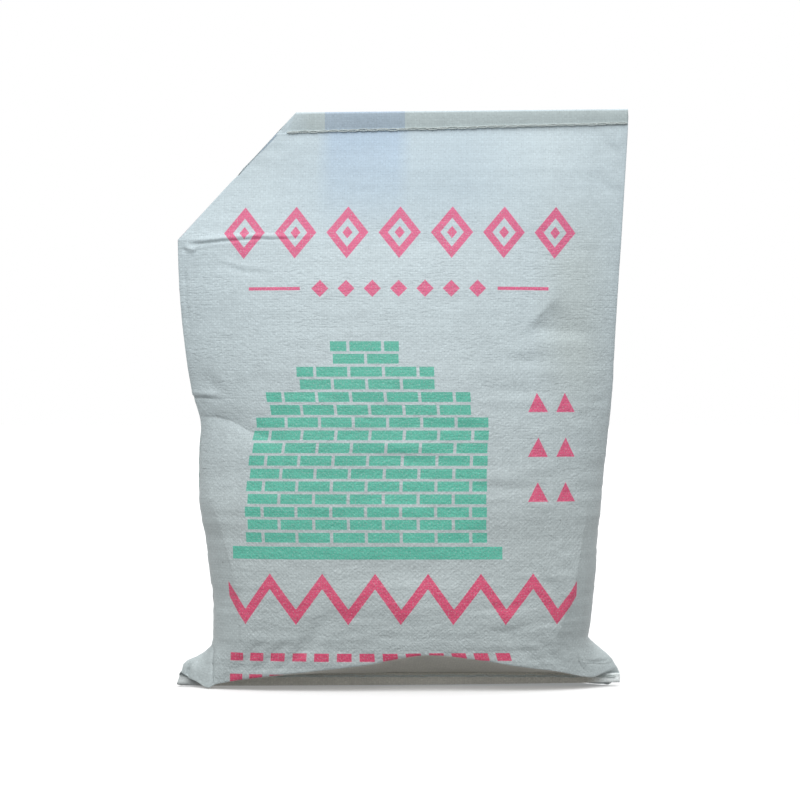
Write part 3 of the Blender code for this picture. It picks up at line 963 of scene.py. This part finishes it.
def mixed(tree, share, first, second, blend="MIX"):
    """Two colours, each a node's socket or three numbers, mixed by a Value or a number."""
    node = tree.nodes.new("ShaderNodeMix")
    node.data_type = "RGBA"
    node.blend_type = blend
    # Its places 6 and 7 and its output 2 are the ones for colours.
    for place, value in ((node.inputs[0], share), (node.inputs[6], first), (node.inputs[7], second)):
        if isinstance(value, Value):
            tree.links.new(value.socket, place)
        elif isinstance(value, bpy.types.NodeSocket):
            tree.links.new(value, place)
        else:
            place.default_value = (*value, 1) if isinstance(value, tuple) else value
    return node.outputs[2]


def new_material(name):
    """A new material, its nodes and its shader."""
    material = bpy.data.materials.new(name)
    material.use_nodes = True
    return material, material.node_tree, material.node_tree.nodes["Principled BSDF"]


def bumpy(tree, shader, height, strength, distance):
    """Gives a material bumps after this Value, up to this distance high."""
    bump = tree.nodes.new("ShaderNodeBump")
    set_inputs(bump, {"Strength": strength, "Distance": distance})
    tree.links.new(height.socket, bump.inputs["Height"])
    tree.links.new(bump.outputs[0], shader.inputs["Normal"])


# The print is a plain pattern. These are its sizes and places on the flat cloth.
PRINT_HALF_WIDTH = 0.182
LOZENGE_PITCH = 0.052
LOZENGE_ROW = 0.452
LOZENGE_HALF_WIDTH = 0.021
LOZENGE_HALF_HEIGHT = 0.026
LOZENGE_RING = 0.56
LOZENGE_CORE = 0.24
LOZENGE_SOFT = 0.03
DOT_ROW = 0.396
DOT_PITCH = 0.026
DOT_HALF = 0.0085
DOTS_END = 0.091
RULE_ENDS = (0.098, 0.150)
RULE_HALF = 0.0018
ZIGZAG_LOW = 0.0735
ZIGZAG_RISE = 1.35
ZIGZAG_HALF = 0.0075
ZIGZAG_END = 0.176
DASH_PITCH = 0.022
DASH = (0.15, 0.80)
DASH_HALF = 0.0042
DASH_ROWS = ((0.0335, -0.176, 0.110), (0.0120, -0.176, -0.020))
MARK_PITCH = 0.030
MARK_ROWS_PITCH = 0.044
MARK_FOOT = 0.010
MARK_HEIGHT = 0.019
MARK_HALF = 0.0105
MARK_TAPER = 0.55
MARKS_ACROSS = (0.120, 0.180)
MARKS_DOWN = (0.176, 0.308)
WALL_MIDDLE = -0.035
WALL_HALF = 0.119
WALL_FOOT = 0.145
WALL_TOP = 0.345
COURSE = 0.0125
BRICK = 0.034
BED_JOINT = 0.11
HEAD_JOINT = 0.045
FOOTING = (0.130, 0.1425)
FOOTING_HALF = 0.134


def from_nearest(value, pitch):
    """How far the number lies from the nearest whole multiple of this pitch."""
    return ((value / pitch + 0.5).part() - 0.5).size() * pitch


def red_print(u, v):
    """Where red ink lies: lozenges above, dots below them, a zigzag and dashes near the bottom."""
    lozenge = from_nearest(u, LOZENGE_PITCH) / LOZENGE_HALF_WIDTH
    lozenge = lozenge + (v - LOZENGE_ROW).size() / LOZENGE_HALF_HEIGHT
    whole, gap, core = (lozenge.below(edge, LOZENGE_SOFT) for edge in (1, LOZENGE_RING, LOZENGE_CORE))
    ink = (whole - gap + core) * u.size().below(PRINT_HALF_WIDTH)
    from_dot_row = (v - DOT_ROW).size()
    dot = (from_nearest(u, DOT_PITCH) + from_dot_row) / DOT_HALF
    ink = ink.most(dot.below(1, soft=0.06) * u.size().below(DOTS_END))
    ink = ink.most(from_dot_row.below(RULE_HALF) * u.size().within(*RULE_ENDS))
    zigzag = (v - ZIGZAG_LOW - from_nearest(u, LOZENGE_PITCH) * ZIGZAG_RISE).size().below(ZIGZAG_HALF)
    ink = ink.most(zigzag * u.size().below(ZIGZAG_END))
    dash = (u / DASH_PITCH).part().within(*DASH, soft=0.02)
    for row, left, right in DASH_ROWS:
        ink = ink.most(dash * (v - row).size().below(DASH_HALF) * u.within(left, right))
    across = from_nearest(u + MARK_PITCH / 2, MARK_PITCH)
    up = (v / MARK_ROWS_PITCH).part() * MARK_ROWS_PITCH - MARK_FOOT
    mark = (across + up * MARK_TAPER).below(MARK_HALF) * up.within(0, MARK_HEIGHT)
    return ink.most(mark * u.within(*MARKS_ACROSS) * v.within(*MARKS_DOWN))


def green_print(u, v):
    """Where green ink lies: a wall in running bond, with its top stepped down at both ends."""
    courses = (v - WALL_FOOT) / COURSE
    bed = courses.part().within(BED_JOINT, 1 - BED_JOINT, soft=0.03)
    bricks = u / BRICK + courses.whole().odd() * 0.5
    head = bricks.part().within(HEAD_JOINT, 1 - HEAD_JOINT, soft=0.012)
    from_middle = (u - WALL_MIDDLE).size()
    top = WALL_TOP - (from_middle / BRICK).whole() * (COURSE * 2)
    wall = (v - top).below(0) * (WALL_FOOT - v).below(0) * from_middle.below(WALL_HALF)
    return (wall * bed * head).most(v.within(*FOOTING) * from_middle.below(FOOTING_HALF))


def cloth_place(x, z):
    """Where this spot of the front lies on the flat cloth."""
    seen = front[:turned_row - TURN_ROWS[1]]
    nearest = np.argmin((seen[..., 0] - x) ** 2 + (seen[..., 2] - z) ** 2)
    return float(front_u.flat[nearest]), float(front_v.flat[nearest])


def pressed(u, v, line, width):
    """How deep a thin crease is pressed along a line of x, z and depth on the front."""
    total = 0
    for (ax, az, a_depth), (bx, bz, b_depth) in zip(line, line[1:]):
        (au, av), (bu, bv) = cloth_place(ax, az), cloth_place(bx, bz)
        du, dv = bu - au, bv - av
        length_squared = du * du + dv * dv
        along = ((u - au) * (du / length_squared) + (v - av) * (dv / length_squared)).most(0).least(1)
        off_u, off_v = u - au - along * du, v - av - along * dv
        closeness = (1 - (off_u * off_u + off_v * off_v).root() / width).most(0)
        deep = closeness * (along * (b_depth - a_depth) + a_depth)
        total = deep + total
    return total


def added(base, *parts):
    """This number with each of these patterns added to it, in its share."""
    for pattern, share in parts:
        base = pattern * share + base
    return base


def inked_place(value):
    """The number pulled toward the middles of the ink's small steps, which frays its edges."""
    middle = ((value / INK_STEP).whole() + 0.5) * INK_STEP
    return value * (1 - INK_PULL) + middle * INK_PULL


cloth, tree, shader = new_material("woven_tape_cloth")
uv_node = tree.nodes.new("ShaderNodeUVMap")
uv_node.uv_map = "cloth"
split = tree.nodes.new("ShaderNodeSeparateXYZ")
tree.links.new(uv_node.outputs[0], split.inputs[0])
u_all, v = Value(tree, split.outputs[0]), Value(tree, split.outputs[1])
is_back = 1 - u_all.below(BACK_U / 2)
is_front = 1 - is_back
u = u_all - is_back * BACK_U

warp_place, weft_place = u / TAPE + WARP_START, v / TAPE + WEFT_START
warp_number, weft_number = warp_place.whole(), weft_place.whole()
warp_round, weft_round = (
    ((place.part() - 0.5) * math.pi).cosine() for place in (warp_place, weft_place)
)
over = (warp_number + weft_number).odd()
warp_dome = warp_round * (weft_round * 0.5 + 0.5)
weft_dome = weft_round * (warp_round * 0.5 + 0.5)
weave = over * warp_dome + (1 - over) * weft_dome

warp_shade = pattern_noise(tree, [warp_number, is_back])
weft_shade = pattern_noise(tree, [weft_number, is_back + WEFT_SEED])
tape_shade = pattern_noise(tree, [warp_number, weft_number])
long_streaks = pattern_noise(tree, [u * 130, v * 430], scale=1, detail=2)
blotches = pattern_noise(tree, [u, v], scale=55, detail=3)
dust = pattern_noise(tree, [u, v], scale=9, detail=4)
specks = pattern_noise(tree, [u, v], scale=700).within(0.69, 1.0, 0.02)
rising = pattern_noise(tree, [(u + v) * CRINKLE_LEAN, u - v], scale=330, detail=1)
falling = pattern_noise(tree, [u + v, (u - v) * CRINKLE_LEAN], scale=330, detail=1)
patches = pattern_noise(tree, [u * 16, v * 34], scale=1, detail=1).within(0.50, 1.0, 0.16)
worn = pattern_noise(tree, [u, v], scale=650, detail=1).within(0.62, 1.0, 0.06)
tight_and_shaded, turned, under = (point_value(tree, name) for name in ("drawn_tight_and_shaded", "facet_painted_shade", "underside_painted_bounce"))

# Where on the cloth it is full, calm and so on. The last number is how soft the edge is.
full = v.below(0.30, 0.30)
calm = 1 - v.below(0.465, 0.070)
# Painted light on the forward-facing lower belly.
painted_belly_light = u.within(-0.05, 0.08, 0.12) * v.within(0.055, 0.25, 0.10) * is_front
in_ears = v.below(0.043, 0.020) * (1 - u.size().below(0.197, 0.010))
through = u.within(STRIPE_LEFT, STRIPE_RIGHT, 0.016) * (1 - v.below(0.500, 0.090)) * is_front
single = u.within(-0.100, 0.105, 0.085) * (1 - v.below(0.462, 0.060)) * is_front
# Painted shade on the right side, which turns from the light.
painted_lee_shade = u.within(0.150, 0.205, 0.035) * v.within(0.29, 0.46, 0.08) * is_front
striped = u.within(STRIPE_LEFT, STRIPE_RIGHT, 0.0006) * is_back
folded = is_back * (1 - v.below(HEIGHT + 0.0012, 0.001)) * (1 - u.below(-0.098, 0.014) * 0.6)
crinkles = (rising + falling) * (full * CRINKLES_FULL + CRINKLES_EMPTY)
crinkles = crinkles * (1 - tight_and_shaded.most(in_ears) * TIGHT_SMOOTHS)
# Dents are pressed in as bumps and painted a little darker: painted shade.
shaded_dents = long_streaks.below(0.41, 0.16) * patches * v.within(0.20, 0.455, 0.08)
glints = over * warp_dome * tape_shade
# The thin creases are pressed in as bumps and painted darker: painted shade in them.
creased_and_shaded = sum(pressed(u, v, line, width) for line, width in PRESSED) * is_front

# The cloth's brightness: random tones of the tapes, painted glints, painted light on the belly, and
# painted shade in the dents, on the tight strips, under the facet's edge and in the creases.
shade = added(
    SHADE_BASE,
    (warp_shade, 0.02),
    (weft_shade, 0.03),
    (tape_shade, 0.05),
    (long_streaks, 0.15),
    (long_streaks * calm, -0.08),
    (blotches, 0.16),
    (blotches * calm, -0.06),
    (dust, 0.12),
    (weave, 0.04),
    (glints, 0.12),
    (glints * calm, -0.05),
    (calm, 0.07),
    (painted_belly_light, 0.07),
    (shaded_dents, -0.02),
    (specks, -0.12),
    (tight_and_shaded, -0.05),
    (turned, -0.13),
    (creased_and_shaded.most(0), -0.16),
)
for x, z, radius in DIRT:
    dirt_u, dirt_v = cloth_place(x, z)
    from_dirt = ((u - dirt_u) * (u - dirt_u) + (v - dirt_v) * (v - dirt_v)).root()
    shade = shade - from_dirt.below(radius, DIRT_SOFT) * is_front * DIRT_SHADE

# Darker towards the bottom: partly the full cloth's own tone, partly painted shade.
cloth_colour = mixed(tree, v.below(0.33, 0.34), CLOTH_EMPTY, CLOTH_FULL_AND_SHADED)
for where, tint in (
    (through, SHOWING_THROUGH),
    (single, SINGLE_LAYER),
    (painted_lee_shade, PAINTED_LEE_SHADE),
    (striped, STRIPE_SHADE),
    (folded, FOLDED_SHADE),
):
    cloth_colour = mixed(tree, where, cloth_colour, tint, "MULTIPLY")
# The bottom hem's colour: painted light at its right end, darker at its left.
hem_ends = mixed(tree, u.below(0, 0.1), HEM_END_RIGHT_PAINTED_LIGHT, HEM_END_LEFT)
cloth_colour = mixed(tree, v.below(FOOT_V / 2), cloth_colour, hem_ends)
# Painted bounce light on the underside under the drape.
cloth_colour = mixed(tree, under, cloth_colour, UNDERSIDE_PAINTED_BOUNCE)
red_ink = mixed(tree, v.below(0.25, 0.40), RED_HIGH, RED_LOW)
grey = tree.nodes.new("ShaderNodeCombineColor")
for socket in grey.inputs:
    tree.links.new(shade.socket, socket)
cloth_colour, red_ink, green_ink = (
    mixed(tree, 1.0, colour, grey.outputs[0], "MULTIPLY") for colour in (cloth_colour, red_ink, GREEN)
)
ink_u, ink_v = inked_place(u), inked_place(v)
on_tapes = (weave * 0.9).least(0.24)
coverage = added(INK_COVERS, (on_tapes, 1.0), (worn, -0.30)) * is_front * (1 - under)
printed = mixed(tree, red_print(ink_u, ink_v) * coverage, cloth_colour, red_ink)
printed = mixed(tree, green_print(ink_u, ink_v) * coverage, printed, green_ink)
tree.links.new(printed, shader.inputs["Base Color"])

roughness = added(0.40, (blotches, 0.16), (tape_shade, 0.08))
tree.links.new(roughness.socket, shader.inputs["Roughness"])
height = added(
    crinkles,
    (weave, 0.22),
    (long_streaks, 0.9),
    (long_streaks * full, -0.4),
    (blotches, 1.3),
    (tape_shade, 0.22),
)
height = added(height * (1 - calm * CALM_SMOOTHS), (shaded_dents, -0.5), (creased_and_shaded, -1.6))
bumpy(tree, shader, height, strength=0.55, distance=0.0006)
woven_sack.data.materials.append(cloth)

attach(woven_sack, "root")
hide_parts("filled_sack")


# The top is sewn through with one spun thread in a chain stitch: a row of loops that catch each
# other along the front of the hem, and short straight stitches behind it.
THREAD_RADIUS = 0.00046
THREAD_END = 0.3
LOOP_HALF_WIDTH = 0.0011
LOOP_WIDTHS = (0.75, 1.15)
LOOP_START_WIDTH = 0.45
LOOP_OVERLAP = 0.0016
LOOP_WANDER = 0.0004
LOOP_LIES = 0.9
LOOP_ARCHES = 3.8
LOOP_CATCHES = 1.2
CATCHES_FROM = 0.8
LOOP_POINTS = 22
BEHIND_ENDS = (0.06, 0.94)
BEHIND_POINTS = 9
BEHIND_ARCHES = 1.4
BEHIND_SINKS = 0.3
THREAD_SIDES = 6
THREAD_COLOUR = (0.70, 0.78, 0.77)
THREAD_DARK = (0.504, 0.5616, 0.5544)
TOP_STITCH_UP = 0.0006
TOP_STITCH_OUT = 0.0018
TOP_STITCH_INSETS = (0.010, 0.003)
TOP_LOOPS = 34


def thread_tube(path, closed):
    """The points and faces of a thread along this path: a ring, or a length with thin closed ends."""
    ahead = np.roll(path, -1, axis=0) - np.roll(path, 1, axis=0)
    if not closed:
        ahead[0], ahead[-1] = path[1] - path[0], path[-1] - path[-2]
    ahead /= np.linalg.norm(ahead, axis=1, keepdims=True)
    outward = np.array([0.0, 1.0, 0.0])
    side = np.cross(ahead, outward)
    side /= np.maximum(np.linalg.norm(side, axis=1, keepdims=True), 1e-9)
    lift = np.cross(side, ahead)
    turn = np.linspace(0, 2 * math.pi, THREAD_SIDES, endpoint=False)
    radius = np.full(len(path), THREAD_RADIUS)
    if not closed:
        radius[[0, -1]] *= THREAD_END
    ring = side[:, None] * np.cos(turn)[:, None] + lift[:, None] * np.sin(turn)[:, None]
    points = (path[:, None] + ring * radius[:, None, None]).reshape(-1, 3)
    index = np.arange(len(points)).reshape(-1, THREAD_SIDES)
    index = np.concatenate([index, index[:, :1]], axis=1)
    if closed:
        index = np.concatenate([index, index[:1]])
        return points, grid_faces(index)
    return points, grid_faces(index) + [index[0, :-1].tolist(), index[-1, -2::-1].tolist()]


def chain_stitch(name, start, end, out, behind, loops, seed):
    """A sewn line from start to end, as the loops in front of it and the stitches behind it."""
    start, end = np.array(start), np.array(end)
    along = (end - start) / loops
    length = np.linalg.norm(along)
    unit = along / length
    across = np.array([-unit[2], 0, unit[0]])
    random = np.random.default_rng(seed)
    points, faces = [], []
    turn = np.linspace(0, 2 * math.pi, LOOP_POINTS, endpoint=False)
    t = (1 - np.cos(turn)) / 2
    rise = THREAD_RADIUS * (LOOP_LIES + LOOP_ARCHES * t * (1 - t) + LOOP_CATCHES * (t > CATCHES_FROM))
    spread = np.sin(turn) * (LOOP_START_WIDTH + (1 - LOOP_START_WIDTH) * t)
    t_behind = np.linspace(*BEHIND_ENDS, BEHIND_POINTS)
    for i in range(loops):
        wander = across * random.uniform(-LOOP_WANDER, LOOP_WANDER)
        width = LOOP_HALF_WIDTH * random.uniform(*LOOP_WIDTHS)
        loop = start + along * i + wander
        loop = loop + np.outer(t * (length + LOOP_OVERLAP), unit) + np.outer(spread * width, across)
        loop[:, 1] = -(out + rise)
        stitch = start + along * i + np.outer(t_behind * length, unit)
        arch = BEHIND_ARCHES * np.sin(t_behind * math.pi) - BEHIND_SINKS
        stitch[:, 1] = behind + THREAD_RADIUS * arch
        for path, closed in ((loop, True), (stitch, False)):
            tube_points, tube_faces = thread_tube(path, closed)
            first = sum(map(len, points))
            faces += [[corner + first for corner in face] for face in tube_faces]
            points.append(tube_points)
    thread = new_piece(name, np.concatenate(points), faces)
    thread.data.materials.append(spun_thread)
    return thread


spun_thread, tree, shader = new_material("spun_thread")
coordinates = tree.nodes.new("ShaderNodeTexCoord")
strands = tree.nodes.new("ShaderNodeTexWave")
strands.bands_direction = "DIAGONAL"
set_inputs(strands, {"Scale": 420, "Distortion": 1.5})
tree.links.new(coordinates.outputs["Object"], strands.inputs["Vector"])
fuzz = tree.nodes.new("ShaderNodeTexNoise")
set_inputs(fuzz, {"Scale": 900})
tree.links.new(coordinates.outputs["Object"], fuzz.inputs["Vector"])
strand, hairy = Value(tree, strands.outputs["Fac"]), Value(tree, fuzz.outputs["Fac"])
thread_colour = mixed(tree, (strand + hairy) * 0.35, THREAD_DARK, THREAD_COLOUR)
tree.links.new(thread_colour, shader.inputs["Base Color"])
set_inputs(shader, {"Roughness": 0.75, "Sheen Weight": 0.3})
bumpy(tree, shader, strand + hairy, strength=0.6, distance=0.0002)

top_stitches = chain_stitch(
    "top_chain_stitch",
    (valve_line(HEM_LEFT) + TOP_STITCH_INSETS[0], 0, HEM_LEFT + TOP_STITCH_UP),
    (FLAT_HALF_WIDTH - TOP_STITCH_INSETS[1], 0, HEM_RIGHT + TOP_STITCH_UP),
    TOP_STITCH_OUT, LAYER, TOP_LOOPS, seed=3,
)
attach(top_stitches, "root")
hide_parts("top_seam_thread")


# The bottom hem is sewn right across with the same spun thread, in the same chain stitch through
# all of its folded layers. The drape of the front hides most of it.
BOTTOM_STITCH_HEIGHT = 0.0105
BOTTOM_STITCH_OUT = 0.0041
BOTTOM_STITCH_BEHIND = 0.0012
BOTTOM_LOOPS = 43
BOTTOM_STITCH_INSET = 0.006

bottom_stitches = chain_stitch(
    "bottom_chain_stitch",
    (SEAM_LEFT + BOTTOM_STITCH_INSET, 0, BOTTOM_STITCH_HEIGHT),
    (SEAM_RIGHT - BOTTOM_STITCH_INSET, 0, BOTTOM_STITCH_HEIGHT),
    BOTTOM_STITCH_OUT, BOTTOM_STITCH_BEHIND, BOTTOM_LOOPS, seed=4,
)
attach(bottom_stitches, "root")
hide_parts("bottom_seam_thread")


# The stage is a plain pale floor under a white sky, with a soft light from the front, high up and
# a little to the left, and a weaker one from behind.
WHITE = (1, 1, 1, 1)
FLOOR_HALF = 30.0
FLOOR_SHADE = 0.74
FLOOR_GLOW = 0.20
SKY_ABOVE = 0.66
SKY_BELOW = 0.22
HORIZON_SOFT = 0.3
LIGHT_SPREAD = 60
LAMP_DISTANCE = 2
LIGHTS = (
    # name, where it comes from, strength
    ("key", (-0.14, -1.0, 1.30), 2.2),
    ("back_light", (0.50, 1.0, 1.10), 0.9),
)

bpy.ops.object.select_all(action="DESELECT")
bpy.ops.mesh.primitive_plane_add(size=2 * FLOOR_HALF, location=(0, 0, 0))
floor = bpy.context.object
floor.name = "floor"
floor_material, tree, shader = new_material("pale_floor")
set_inputs(shader, {
    "Roughness": 0.9,
    "Base Color": (FLOOR_SHADE, FLOOR_SHADE, FLOOR_SHADE, 1),
    "Emission Color": WHITE,
    "Emission Strength": FLOOR_GLOW,
})
floor.data.materials.append(floor_material)
# It glows faintly, to be as pale as the ground of the photograph, and throws no light at the sack.
floor.visible_diffuse = False

world = bpy.data.worlds.new("studio")
bpy.context.scene.world = world
world.use_nodes = True
sky = world.node_tree
direction = sky.nodes.new("ShaderNodeTexCoord")
split = sky.nodes.new("ShaderNodeSeparateXYZ")
sky.links.new(direction.outputs["Generated"], split.inputs[0])
brightness = sky.nodes.new("ShaderNodeMapRange")
brightness.interpolation_type = "SMOOTHSTEP"
set_inputs(brightness, {
    "From Min": -HORIZON_SOFT,
    "From Max": HORIZON_SOFT,
    "To Min": SKY_BELOW,
    "To Max": SKY_ABOVE,
})
sky.links.new(split.outputs["Z"], brightness.inputs["Value"])
# The camera sees full white, and every other ray the shade of its direction.
seen = sky.nodes.new("ShaderNodeLightPath")
strength = sky.nodes.new("ShaderNodeMix")
sky.links.new(seen.outputs["Is Camera Ray"], strength.inputs[0])
sky.links.new(brightness.outputs[0], strength.inputs[2])
strength.inputs[3].default_value = 1.0
sky.links.new(strength.outputs[0], sky.nodes["Background"].inputs["Strength"])
sky.nodes["Background"].inputs["Color"].default_value = WHITE

for name, source, energy in LIGHTS:
    bpy.ops.object.light_add(type="SUN", location=Vector(source) * LAMP_DISTANCE)
    lamp = bpy.context.object
    lamp.name = name
    lamp.data.angle = math.radians(LIGHT_SPREAD)
    lamp.data.energy = energy
    lamp.rotation_euler = (-Vector(source)).to_track_quat("-Z", "Y").to_euler()
